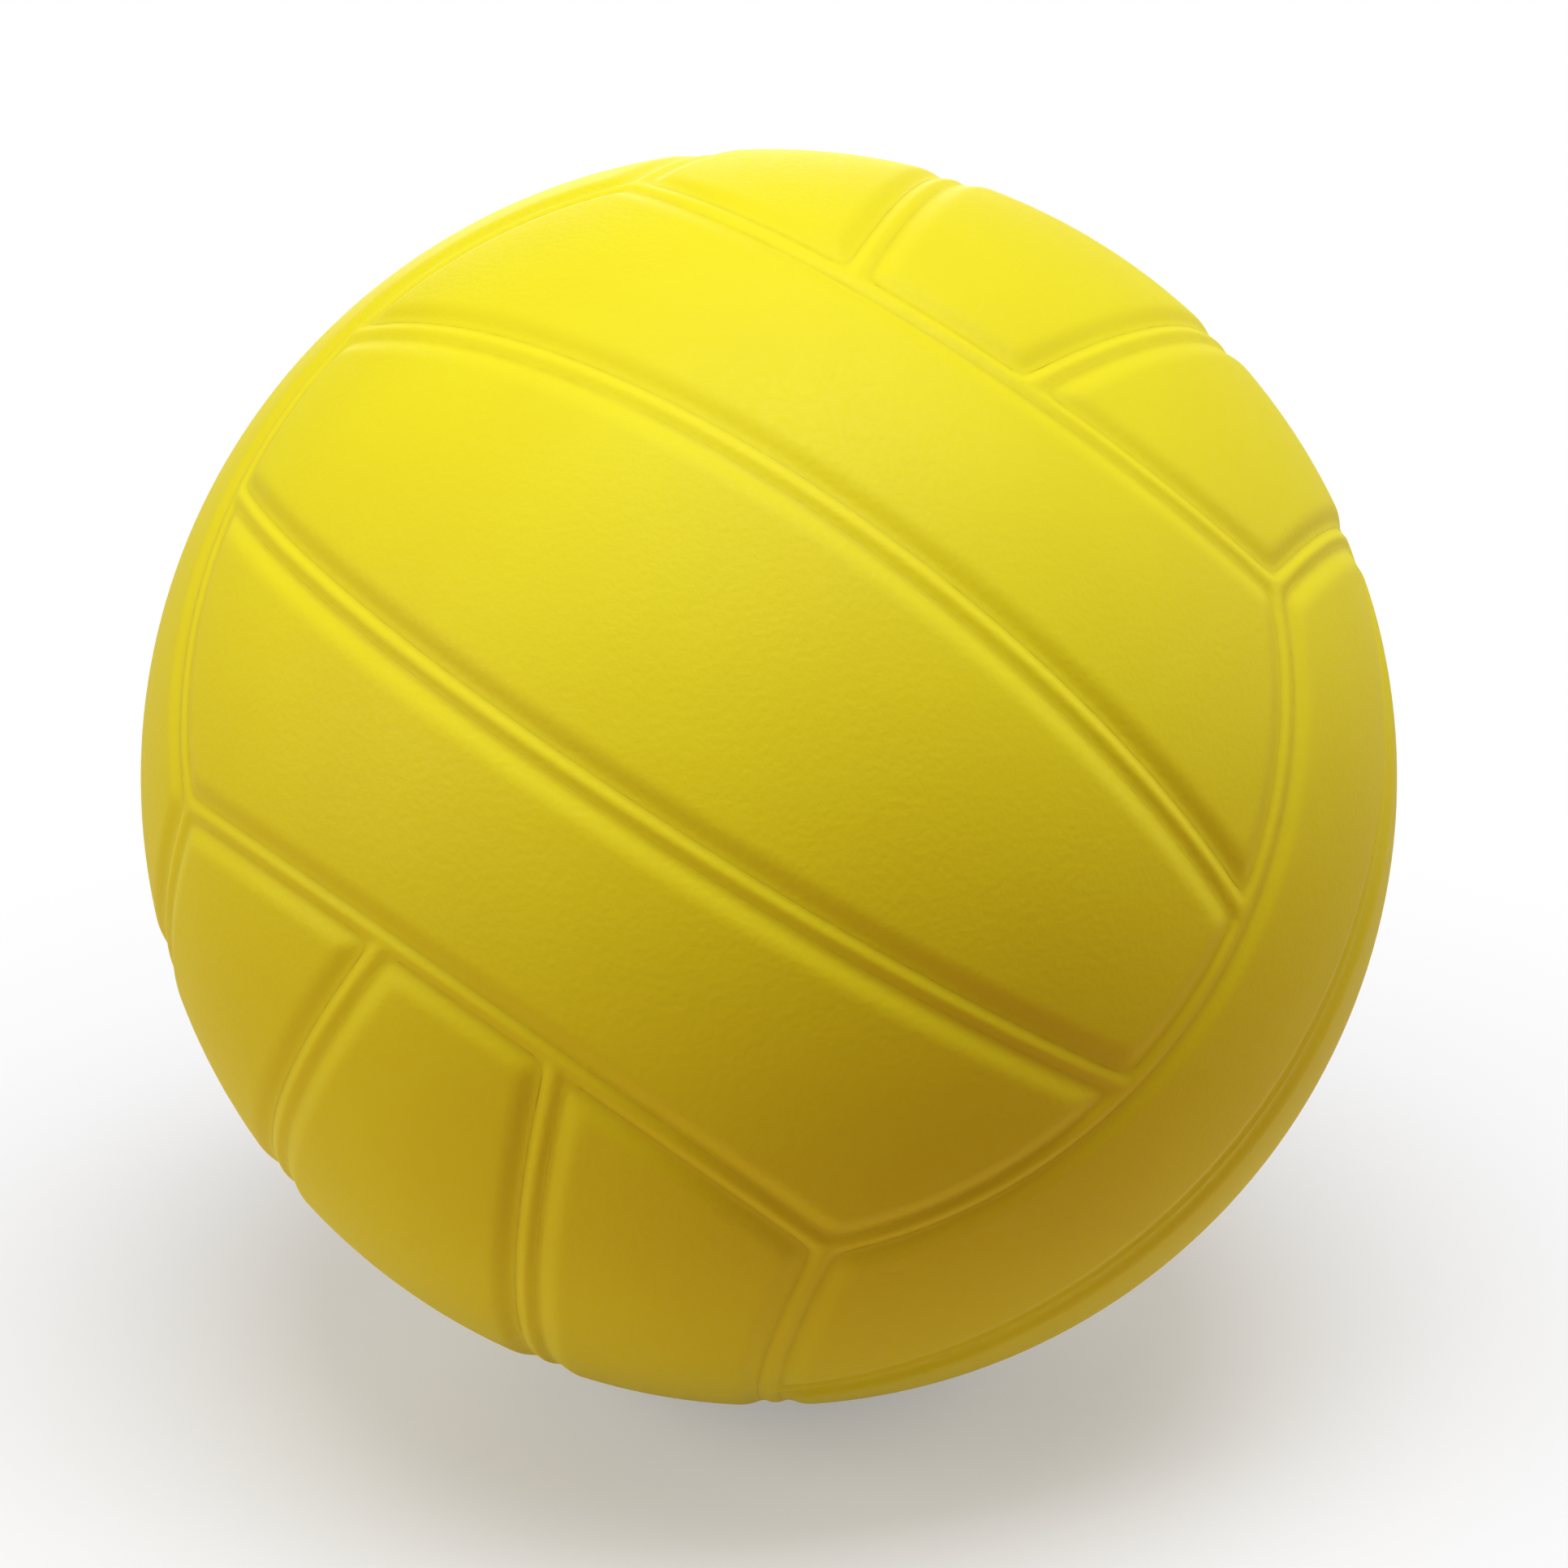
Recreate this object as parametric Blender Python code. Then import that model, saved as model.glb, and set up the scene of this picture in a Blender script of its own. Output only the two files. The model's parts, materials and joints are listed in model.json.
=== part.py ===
"""A laminated volleyball: eighteen cover panels laid between the ribs of a rubber carcass.

Under the carcass lie a thread winding and an air bladder, and a valve reaches through them all.
Lengths are in metres, +Z is up, and the origin is the centre of the ball.

All seams are plane cuts of the sphere. The pattern has six faces. The edges between faces lie in
planes at one over root three of the radius, square to the three axes of the pattern. Two inner
seams, on great circles tilted to either side of a face's centre line, split it into three strips.
"""

import math

import bmesh
import bpy
from mathutils import Matrix, Vector

# Driving dimensions of the ball
BALL_RADIUS = 0.105
INNER_SEAM_ANGLE = math.radians(14.5)
LIE_ANGLES = tuple(math.radians(angle) for angle in (-35.5, 26.1, -24.7))

# Cover and carcass
PANEL_THICKNESS = 0.0015
EDGE_DROP = 0.001
SHOULDER_WIDTH = 0.0037
RIB_HALF_WIDTH = 0.001
RIB_BELOW_CROWN = 0.0006
RIB_WALL_DRAFT = 0.00005
SIDE_GAP = 0.0003
LAYER_GAP = 0.0004
CARCASS_WALL = 0.0008
WINDING_WALL = 0.0005
BLADDER_WALL = 0.0008

# Valve, turned about the axis through the middle of the left face
NECK_RADIUS = 0.0045
STEM_RADIUS = 0.0042
FLANGE_RADIUS = 0.012
FLANGE_EDGE = 0.001
FLANGE_SLOPE = 0.0007
BORE_RADIUS = 0.0026
HEAD_SEAT_RADIUS = 0.0033
HEAD_SEAT_DEPTH = 0.0012
HOUSING_TOP_BELOW_CROWN = 0.0008
HOUSING_LENGTH = 0.0162
FLANGE_TOP_BELOW_CROWN = 0.0064
NOSE_CHAMFER = 0.0006
PLUG_HEAD_RADIUS = 0.003
PLUG_HEAD_HEIGHT = 0.0008
PLUG_TOP_BELOW_HOUSING = 0.0001
NEEDLE_HOLE_RADIUS = 0.0005
NEEDLE_LEAD_IN_RADIUS = 0.0012
NEEDLE_LEAD_IN_DEPTH = 0.0005
NEEDLE_HOLE_DEPTH = 0.009

# Radii of the layers, worked out from the outside in
PANEL_EDGE_RADIUS = BALL_RADIUS - EDGE_DROP
PANEL_UNDERSIDE = BALL_RADIUS - PANEL_THICKNESS
RIB_CREST = BALL_RADIUS - RIB_BELOW_CROWN
POCKET_FLOOR = PANEL_UNDERSIDE - LAYER_GAP
CARCASS_INSIDE = POCKET_FLOOR - CARCASS_WALL
WINDING_OUTSIDE = CARCASS_INSIDE - LAYER_GAP
WINDING_INSIDE = WINDING_OUTSIDE - WINDING_WALL
BLADDER_OUTSIDE = WINDING_INSIDE - LAYER_GAP
BLADDER_INSIDE = BLADDER_OUTSIDE - BLADDER_WALL
HOUSING_TOP = BALL_RADIUS - HOUSING_TOP_BELOW_CROWN
HOUSING_BOTTOM = HOUSING_TOP - HOUSING_LENGTH

# Colour and roughness of each material
FINISHES = {
    "cover_rubber": ((0.78, 0.6, 0.03), 0.5),
    "carcass_rubber": ((0.74, 0.55, 0.025), 0.55),
    "nylon_thread": ((0.75, 0.73, 0.68), 0.7),
    "butyl_rubber": ((0.02, 0.02, 0.022), 0.6),
    "valve_rubber": ((0.03, 0.03, 0.032), 0.5),
    "plug_rubber": ((0.05, 0.05, 0.052), 0.45),
}

# Fineness of the meshes
OUTER_STRIP_ROWS = 5
MIDDLE_STRIP_ROWS = 4
TURN_STEPS = 24
SHELL_ARC_STEPS = 12
SHARP_ANGLE = math.radians(35)
MERGE_DISTANCE = 1e-6

# Pattern geometry on a sphere of radius one
EDGE_PLANE = 1 / math.sqrt(3)
EDGE_CIRCLE = math.sqrt(2 / 3)
CORNER_STATION = math.radians(45)
SEAM_STATION = math.asin(math.tan(INNER_SEAM_ANGLE) / math.sqrt(2))

# Axes of the pattern, and for each face its normal, its strips' direction and the way across them
FRONT = Vector((0, -1, 0))
RIGHT = Vector((1, 0, 0))
TOP = Vector((0, 0, 1))
FACE_AXES = {
    "front": (FRONT, RIGHT, TOP),
    "back": (-FRONT, -RIGHT, TOP),
    "right": (RIGHT, TOP, FRONT),
    "left": (-RIGHT, -TOP, FRONT),
    "top": (TOP, FRONT, RIGHT),
    "bottom": (-TOP, -FRONT, RIGHT),
}
OUTER_STRIP_NAMES = {
    "front": ("upper", "lower"),
    "back": ("upper", "lower"),
    "right": ("front", "rear"),
    "left": ("front", "rear"),
    "top": ("right", "left"),
    "bottom": ("right", "left"),
}
VALVE_PANEL = "panel_left_middle"


def clear_scene():
    """Removes whatever the file opened with."""
    for item in list(bpy.data.objects):
        bpy.data.objects.remove(item, do_unlink=True)


def make_material(name):
    """A Principled material with the colour and roughness of one finish."""
    colour, roughness = FINISHES[name]
    material = bpy.data.materials.new(name)
    material.use_nodes = True
    shader = material.node_tree.nodes["Principled BSDF"]
    shader.inputs["Base Color"].default_value = (*colour, 1)
    shader.inputs["Roughness"].default_value = roughness
    shader.inputs["Metallic"].default_value = 0
    return material


def make_empty(name, parent, rotation):
    """An empty at its parent's origin, which turns what it carries."""
    empty = bpy.data.objects.new(name, None)
    bpy.context.scene.collection.objects.link(empty)
    empty.parent = parent
    empty.rotation_euler = rotation
    return empty


def make_object(name, mesh, parent, material):
    """An object for the mesh, linked to the scene."""
    item = bpy.data.objects.new(name, mesh)
    bpy.context.scene.collection.objects.link(item)
    item.parent = parent
    if not mesh.materials:
        mesh.materials.append(material)
    return item


def finished_mesh(name, work):
    """Turns a working mesh into smooth-shaded mesh data with its faces pointing out."""
    bmesh.ops.recalc_face_normals(work, faces=work.faces[:])
    mesh = bpy.data.meshes.new(name)
    work.to_mesh(mesh)
    work.free()
    mesh.shade_smooth()
    mesh.set_sharp_from_angle(angle=SHARP_ANGLE)
    return mesh


def set_radius(verts, radius):
    """Puts vertices on a sphere about the ball's centre."""
    for vert in verts:
        vert.co = vert.co.normalized() * radius


def verts_of(faces):
    """The vertices that these faces use."""
    return {vert for face in faces for vert in face.verts}


def spaced(start, end, steps):
    """Evenly spaced values from start to end, both included."""
    return [start + (end - start) * step / steps for step in range(steps + 1)]


def outer_stations():
    """Stations across an outer strip, from its inner seam to the face's corner."""
    return spaced(SEAM_STATION, CORNER_STATION, OUTER_STRIP_ROWS)


def middle_stations():
    """Stations across a middle strip, from one inner seam to the other."""
    return spaced(-SEAM_STATION, SEAM_STATION, MIDDLE_STRIP_ROWS)


def face_stations():
    """Stations from corner to corner of a face, which serve both for its rows and its columns."""
    outer = outer_stations()
    return [-station for station in reversed(outer)] + middle_stations()[1:-1] + outer


def direction(row, column):
    """A point of a pattern face on the unit sphere, with axes normal, along and across.

    A station is an angle round the circle in which two faces meet, so the rows of one face end
    exactly on the columns of the next.
    """
    end_angle = math.atan(math.sqrt(2) * math.sin(abs(row)))
    outward = max(0.0, (end_angle - INNER_SEAM_ANGLE) / (CORNER_STATION - INNER_SEAM_ANGLE))
    edge_across = math.atan(1 / (math.sqrt(2) * math.cos(column)))
    across = end_angle
    if outward > 0:
        across = INNER_SEAM_ANGLE + outward * (edge_across - INNER_SEAM_ANGLE)
    across = math.copysign(across, row)
    edge_share = math.asin(EDGE_CIRCLE * math.sin(column)) / math.asin(EDGE_PLANE)
    share = (1 - outward) * column / CORNER_STATION + outward * edge_share
    along = share * math.acos(EDGE_PLANE / math.cos(end_angle))
    return Vector(
        (
            math.cos(along) * math.cos(across),
            math.sin(along),
            math.cos(along) * math.sin(across),
        )
    )


def face_rotation(axes):
    """The rotation from normal, along and across to the axes of the pattern."""
    return Matrix(axes).transposed()


def add_grid(work, rows, columns, rotation):
    """Adds the grid of one strip or face to a working mesh, and returns its faces row by row."""
    grid = [[work.verts.new(rotation @ direction(row, column)) for column in columns] for row in rows]
    faces = []
    for lower, upper in zip(grid, grid[1:]):
        corners = zip(lower, lower[1:], upper[1:], upper)
        faces.append([work.faces.new(quad) for quad in corners])
    return faces


def inset(work, faces, width):
    """Draws the border of a patch inwards by a width, and returns the ring of faces left round it."""
    work.normal_update()
    made = bmesh.ops.inset_region(
        work, faces=faces, thickness=width, depth=0, use_boundary=True, use_even_offset=True
    )
    return made["faces"]


def panel_mesh(name, rows):
    """A cover panel of constant thickness whose outer edge drops to a lip all round."""
    work = bmesh.new()
    add_grid(work, rows, face_stations(), Matrix.Identity(3))
    set_radius(work.verts, PANEL_EDGE_RADIUS)
    rim = inset(work, work.faces[:], RIB_HALF_WIDTH + SIDE_GAP)
    bmesh.ops.delete(work, geom=rim, context="FACES")
    outside = work.faces[:]
    under = bmesh.ops.extrude_face_region(work, geom=outside, use_keep_orig=True)
    set_radius([item for item in under["geom"] if isinstance(item, bmesh.types.BMVert)], PANEL_UNDERSIDE)
    set_radius(verts_of(outside), PANEL_EDGE_RADIUS)
    inset(work, outside, SHOULDER_WIDTH)
    set_radius(verts_of(outside), BALL_RADIUS)
    return finished_mesh(name, work)


def carcass_mesh():
    """The carcass's outer surface: ribs along the seams and a pocket for each panel."""
    work = bmesh.new()
    first_outer = OUTER_STRIP_ROWS
    last_outer = OUTER_STRIP_ROWS + MIDDLE_STRIP_ROWS
    strips = []
    for axes in FACE_AXES.values():
        rows = add_grid(work, face_stations(), face_stations(), face_rotation(axes))
        for band in (rows[:first_outer], rows[first_outer:last_outer], rows[last_outer:]):
            strips.append([face for row in band for face in row])
    bmesh.ops.remove_doubles(work, verts=work.verts[:], dist=MERGE_DISTANCE / BALL_RADIUS)
    set_radius(work.verts, RIB_CREST)
    for strip in strips:
        inset(work, strip, RIB_HALF_WIDTH)
        inset(work, strip, RIB_WALL_DRAFT)
        set_radius(verts_of(strip), POCKET_FLOOR)
    return finished_mesh("carcass", work)


def turned_mesh(name, profile, closed=False):
    """Turns a profile of (radius, height) points about Z."""
    work = bmesh.new()
    verts = [work.verts.new((radius, 0, height)) for radius, height in profile]
    edges = [work.edges.new(pair) for pair in zip(verts, verts[1:])]
    if closed:
        edges.append(work.edges.new((verts[-1], verts[0])))
    bmesh.ops.spin(
        work,
        geom=verts + edges,
        cent=(0, 0, 0),
        axis=(0, 0, 1),
        angle=2 * math.pi,
        steps=TURN_STEPS,
        use_merge=True,
    )
    bmesh.ops.remove_doubles(work, verts=work.verts[:], dist=MERGE_DISTANCE)
    return finished_mesh(name, work)


def shell_arc(radius):
    """Half a sphere's outline from the far pole, opposite the valve, up to the valve neck."""
    neck = math.asin(NECK_RADIUS / radius)
    angles = spaced(math.pi, neck, SHELL_ARC_STEPS)
    outline = [(radius * math.sin(angle), radius * math.cos(angle)) for angle in angles]
    outline[0] = (0, -radius)
    return outline


def shell_mesh(name, outside, inside):
    """A hollow sphere, open at the valve neck."""
    return turned_mesh(name, shell_arc(inside) + shell_arc(outside)[::-1])


def core_mesh():
    """The space inside the carcass, with a neck that runs out past the cover."""
    neck_end = BALL_RADIUS + PANEL_THICKNESS
    return turned_mesh("valve_core", shell_arc(CARCASS_INSIDE) + [(NECK_RADIUS, neck_end), (0, neck_end)])


def valve_housing_mesh():
    """The valve body: a stem through the wall, with a flange under the bladder and a bore."""
    seat = HOUSING_TOP - HEAD_SEAT_DEPTH
    flange_top = BALL_RADIUS - FLANGE_TOP_BELOW_CROWN
    flange_rim = flange_top - FLANGE_SLOPE
    flange_foot = flange_rim - FLANGE_EDGE
    profile = [
        (BORE_RADIUS, HOUSING_BOTTOM),
        (BORE_RADIUS, seat),
        (HEAD_SEAT_RADIUS, seat),
        (HEAD_SEAT_RADIUS, HOUSING_TOP),
        (STEM_RADIUS, HOUSING_TOP),
        (STEM_RADIUS, flange_top),
        (FLANGE_RADIUS, flange_rim),
        (FLANGE_RADIUS, flange_foot),
        (STEM_RADIUS, flange_foot - FLANGE_EDGE),
        (STEM_RADIUS, HOUSING_BOTTOM + NOSE_CHAMFER),
        (STEM_RADIUS - NOSE_CHAMFER, HOUSING_BOTTOM),
    ]
    return turned_mesh("valve_housing", profile, closed=True)


def valve_plug_mesh():
    """The plug: a headed shank with a blind needle hole that opens in a small cone."""
    top = HOUSING_TOP - PLUG_TOP_BELOW_HOUSING
    head_foot = top - PLUG_HEAD_HEIGHT
    shank = BORE_RADIUS - SIDE_GAP
    hole_end = top - NEEDLE_HOLE_DEPTH
    profile = [
        (0, hole_end),
        (NEEDLE_HOLE_RADIUS, hole_end),
        (NEEDLE_HOLE_RADIUS, top - NEEDLE_LEAD_IN_DEPTH),
        (NEEDLE_LEAD_IN_RADIUS, top),
        (PLUG_HEAD_RADIUS, top),
        (PLUG_HEAD_RADIUS, head_foot),
        (shank, head_foot),
        (shank, HOUSING_BOTTOM + NOSE_CHAMFER),
        (shank - NOSE_CHAMFER, HOUSING_BOTTOM),
        (0, HOUSING_BOTTOM),
    ]
    return turned_mesh("valve_plug", profile)


def subtract(item, cutter):
    """Cuts the shape of one object out of another."""
    cut = item.modifiers.new("valve_opening", "BOOLEAN")
    cut.operation = "DIFFERENCE"
    cut.object = cutter


def build_cover(lie, rubber, cutter):
    """The eighteen panels, which are two shapes turned to their places."""
    middle = panel_mesh("middle_panel", middle_stations())
    outer = panel_mesh("outer_panel", outer_stations())
    for face, (normal, along, across) in FACE_AXES.items():
        near, far = OUTER_STRIP_NAMES[face]
        places = {
            "middle": (middle, (normal, along, across)),
            near: (outer, (normal, along, across)),
            far: (outer, (normal, -along, -across)),
        }
        for strip, (mesh, axes) in places.items():
            panel = make_object(f"panel_{face}_{strip}", mesh, lie, rubber)
            panel.rotation_euler = face_rotation(axes).to_euler()
            if panel.name == VALVE_PANEL:
                subtract(panel, cutter)


def main():
    """Builds the ball as it lies, with its valve to the upper left."""
    clear_scene()
    materials = {name: make_material(name) for name in FINISHES}
    lie = make_empty("ball_lie", None, LIE_ANGLES)
    valve_axis = make_empty("valve_axis", lie, (0, -math.pi / 2, 0))

    cutter = make_object("valve_core", core_mesh(), valve_axis, materials["valve_rubber"])
    cutter.hide_render = True
    cutter.display_type = "WIRE"

    build_cover(lie, materials["cover_rubber"], cutter)
    carcass = make_object("carcass", carcass_mesh(), lie, materials["carcass_rubber"])
    subtract(carcass, cutter)
    winding = shell_mesh("thread_winding", WINDING_OUTSIDE, WINDING_INSIDE)
    make_object("thread_winding", winding, valve_axis, materials["nylon_thread"])
    bladder = shell_mesh("bladder", BLADDER_OUTSIDE, BLADDER_INSIDE)
    make_object("bladder", bladder, valve_axis, materials["butyl_rubber"])
    make_object("valve_housing", valve_housing_mesh(), valve_axis, materials["valve_rubber"])
    make_object("valve_plug", valve_plug_mesh(), valve_axis, materials["plug_rubber"])


main()
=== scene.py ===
"""The looks of a laminated volleyball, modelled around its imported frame.

Eighteen moulded rubber panels lie between the seam ribs of a rubber carcass. Under it are a thread
winding and a bladder, and a needle valve reaches in through every layer. Lengths are in metres, +Z
is up and the origin is the ball's centre.

All seams are plane cuts of the sphere. Each pattern face has the axes normal, along and across:
its strips run along, its long edges and its ends lie in planes at one over root three of the
radius, and two great circles tilted to either side of its centre line split it into three strips.
"""

import json
import logging
import math
from collections.abc import Callable, Iterable, Sequence
from dataclasses import dataclass, field
from enum import Enum

import bmesh
import bpy
import numpy as np
from bpy.types import Material, Node, NodeSocket, NodeTree, Object
from mathutils import Euler, Matrix, Vector


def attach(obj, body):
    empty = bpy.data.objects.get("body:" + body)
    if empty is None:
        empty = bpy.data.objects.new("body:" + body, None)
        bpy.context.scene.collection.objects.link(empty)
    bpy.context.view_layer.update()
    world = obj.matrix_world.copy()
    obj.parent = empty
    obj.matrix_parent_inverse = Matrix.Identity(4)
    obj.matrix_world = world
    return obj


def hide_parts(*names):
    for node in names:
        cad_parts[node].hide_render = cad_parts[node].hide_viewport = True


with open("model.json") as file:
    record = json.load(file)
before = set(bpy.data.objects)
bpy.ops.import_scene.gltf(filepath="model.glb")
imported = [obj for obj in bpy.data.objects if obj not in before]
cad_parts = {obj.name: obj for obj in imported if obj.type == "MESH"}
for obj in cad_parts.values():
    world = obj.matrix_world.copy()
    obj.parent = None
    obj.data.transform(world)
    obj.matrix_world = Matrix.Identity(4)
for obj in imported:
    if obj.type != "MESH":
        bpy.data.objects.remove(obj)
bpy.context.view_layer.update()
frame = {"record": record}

LOG = logging.getLogger("volleyball")
MM = 0.001
MERGE_DISTANCE = 0.001 * MM
SHARP_DEGREES = 40
PHOTO_PIXELS = 1932
WHITE = (1.0, 1.0, 1.0, 1.0)

# A hole's first cut is this many times as wide as the hole, because its border is ragged
CUT_MARGIN = 1.3

# The border of a cut lies within this many times the cut's reach
BORDER_MARGIN = 2.0

# How a node is set to mix colours, and the numbers of its inputs and of its output
COLOUR_MIX = {"data_type": "RGBA"}
MIX_SHARE = 0
MIX_FIRST = 6
MIX_SECOND = 7
MIX_RESULT = 2

# How the ball lies in the photograph: the turn of the pattern, about X, then Y, then Z
LIE = Euler([math.radians(angle) for angle in (-35.5, 26.1, -24.7)]).to_matrix()

# Axes of the pattern, before the ball is turned to its lie
TO_FRONT = Vector((0, -1, 0))
TO_RIGHT = Vector((1, 0, 0))
TO_TOP = Vector((0, 0, 1))


class Strip(Enum):
    """The two shapes of panel: a face has one middle strip between two outer ones."""

    MIDDLE = "middle"
    OUTER = "outer"


class Face(Enum):
    """The pattern faces, each with its axes and the names of its two outer strips."""

    FRONT = ("front", (TO_FRONT, TO_RIGHT, TO_TOP), ("upper", "lower"))
    BACK = ("back", (-TO_FRONT, -TO_RIGHT, TO_TOP), ("upper", "lower"))
    RIGHT = ("right", (TO_RIGHT, TO_TOP, TO_FRONT), ("front", "rear"))
    LEFT = ("left", (-TO_RIGHT, -TO_TOP, TO_FRONT), ("front", "rear"))
    TOP = ("top", (TO_TOP, TO_FRONT, TO_RIGHT), ("right", "left"))
    BOTTOM = ("bottom", (-TO_TOP, -TO_FRONT, TO_RIGHT), ("right", "left"))

    @property
    def label(self) -> str:
        """The face's name as the nodes use it."""
        return self.value[0]

    @property
    def turn(self) -> Matrix:
        """The rotation from normal, along and across to the axes of the pattern."""
        return Matrix(self.value[1]).transposed()

    @property
    def outer_names(self) -> tuple[str, str]:
        """Names of the outer strips, first the one on the across side."""
        return self.value[2]


HALF_TURN = Matrix(((1, 0, 0), (0, -1, 0), (0, 0, -1)))

# The face whose middle strip holds the valve, and the turn that takes Z to the valve's axis
VALVE_FACE = Face.LEFT
TO_VALVE = LIE @ VALVE_FACE.turn @ Matrix(((0, 0, 1), (1, 0, 0), (0, 1, 0)))


def deselect() -> None:
    """Leaves edit mode and deselects every object."""
    if bpy.context.mode != "OBJECT":
        bpy.ops.object.mode_set(mode="OBJECT")
    bpy.ops.object.select_all(action="DESELECT")


def pick(item: Object) -> None:
    """Makes one object the only selected and the active one.

    Args:
        item: The object that the next operators act on.
    """
    deselect()
    item.select_set(True)
    bpy.context.view_layer.objects.active = item


def new_object(add: Callable[..., object], **settings: object) -> Object:
    """Adds an object with nothing else selected.

    Args:
        add: The operator that adds it.
        settings: What the operator is given, such as a size and a place.

    Returns:
        The new object.
    """
    deselect()
    add(**settings)
    return bpy.context.object


def edit(item: Object, *actions: Callable[[], object]) -> None:
    """Runs operators on one object in edit mode, with all of it selected at the start.

    Args:
        item: The object to edit.
        actions: Calls without arguments, run in order.
    """
    pick(item)
    bpy.ops.object.mode_set(mode="EDIT")
    bpy.ops.mesh.select_all(action="SELECT")
    for action in actions:
        action()
    bpy.ops.object.mode_set(mode="OBJECT")


def from_axis(point: Vector, axis: Vector) -> float:
    """The distance of a point from an axis through the origin, or infinity on its far side."""
    return point.cross(axis).length if point.dot(axis) > 0 else math.inf


def open_hole(item: Object, axis: Vector, reach: float) -> None:
    """Deletes faces round an axis, and stays in edit mode with the hole's border selected.

    Args:
        item: A sheet without other borders near the axis.
        axis: The unit direction of the hole's axis, from the origin.
        reach: Faces go whose centres are nearer than this to the axis.
    """
    pick(item)
    bpy.ops.object.mode_set(mode="EDIT")
    bpy.ops.mesh.select_mode(type="FACE")
    bpy.ops.mesh.select_all(action="DESELECT")
    work = bmesh.from_edit_mesh(item.data)
    for face in work.faces:
        face.select_set(from_axis(face.calc_center_median(), axis) < reach)
    bmesh.update_edit_mesh(item.data)
    bpy.ops.mesh.delete(type="FACE")
    bpy.ops.mesh.select_mode(type="VERT")
    bpy.ops.mesh.select_all(action="DESELECT")
    work = bmesh.from_edit_mesh(item.data)
    border_reach = BORDER_MARGIN * reach
    for edge in work.edges:
        if edge.is_boundary and all(from_axis(vert.co, axis) < border_reach for vert in edge.verts):
            edge.select_set(True)
    bmesh.update_edit_mesh(item.data)


def round_ring(item: Object, axis: Vector, radius: float, reach: float) -> None:
    """Draws the selected ring of vertices to a circle about an axis.

    Args:
        item: The object, in edit mode.
        axis: The unit direction of the axis, from the origin.
        radius: The circle's radius.
        reach: The distance of the circle from the origin.
    """
    work = bmesh.from_edit_mesh(item.data)
    for vert in work.verts:
        if vert.select:
            side = vert.co - axis * vert.co.dot(axis)
            vert.co = side.normalized() * radius + axis * math.sqrt(reach**2 - radius**2)
    bmesh.update_edit_mesh(item.data)


def points_of(item: Object) -> np.ndarray:
    """Reads an object's vertices.

    Args:
        item: A mesh object.

    Returns:
        Their coordinates, one row each.
    """
    flat = np.empty(len(item.data.vertices) * 3)
    item.data.vertices.foreach_get("co", flat)
    return flat.reshape(-1, 3)


def set_points(item: Object, points: np.ndarray) -> None:
    """Moves an object's vertices to new coordinates, one row for each."""
    item.data.vertices.foreach_set("co", np.asarray(points, dtype=np.float32).ravel())
    item.data.update()


def selected(item: Object) -> np.ndarray:
    """Tells which vertices the last operator left selected.

    Args:
        item: A mesh object, out of edit mode.

    Returns:
        A mask with one value for each vertex.
    """
    mask = np.empty(len(item.data.vertices), dtype=bool)
    item.data.vertices.foreach_get("select", mask)
    return mask


def smooth(item: Object, sharp_degrees: float = SHARP_DEGREES) -> None:
    """Points faces outwards and shades them smooth, but for edges that bend more than an angle."""
    edit(item, lambda: bpy.ops.mesh.normals_make_consistent(inside=False))
    bpy.ops.object.shade_smooth_by_angle(angle=math.radians(sharp_degrees))


def settle(item: Object, turn: Matrix) -> None:
    """Turns an object about the ball's centre and puts the turn into its mesh.

    Args:
        item: The object, modelled about the origin.
        turn: The rotation to its place in the ball.
    """
    pick(item)
    item.matrix_world = turn.to_4x4()
    bpy.ops.object.transform_apply(location=True, rotation=True, scale=True)


def copy_of(item: Object) -> Object:
    """Copies an object together with its mesh.

    Args:
        item: The object to copy.

    Returns:
        The copy.
    """
    pick(item)
    bpy.ops.object.duplicate(linked=False)
    return bpy.context.object


def hand_over(item: Object, name: str, node: str, material: Material) -> None:
    """Names a finished piece, dresses it and puts it on the body of the node that it replaces.

    Args:
        item: The finished piece.
        name: The piece's name.
        node: The node that it stands for.
        material: The finish.
    """
    item.name = name
    item.data.name = name
    item.data.materials.clear()
    item.data.materials.append(material)
    body = next(body for body, nodes in frame["record"]["behaviour"]["bodies"].items() if node in nodes)
    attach(item, body)
    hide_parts(node)
    triangles = sum(len(polygon.vertices) - 2 for polygon in item.data.polygons)
    LOG.info("%s stands for %s on %s, %d triangles", name, node, body, triangles)


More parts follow.
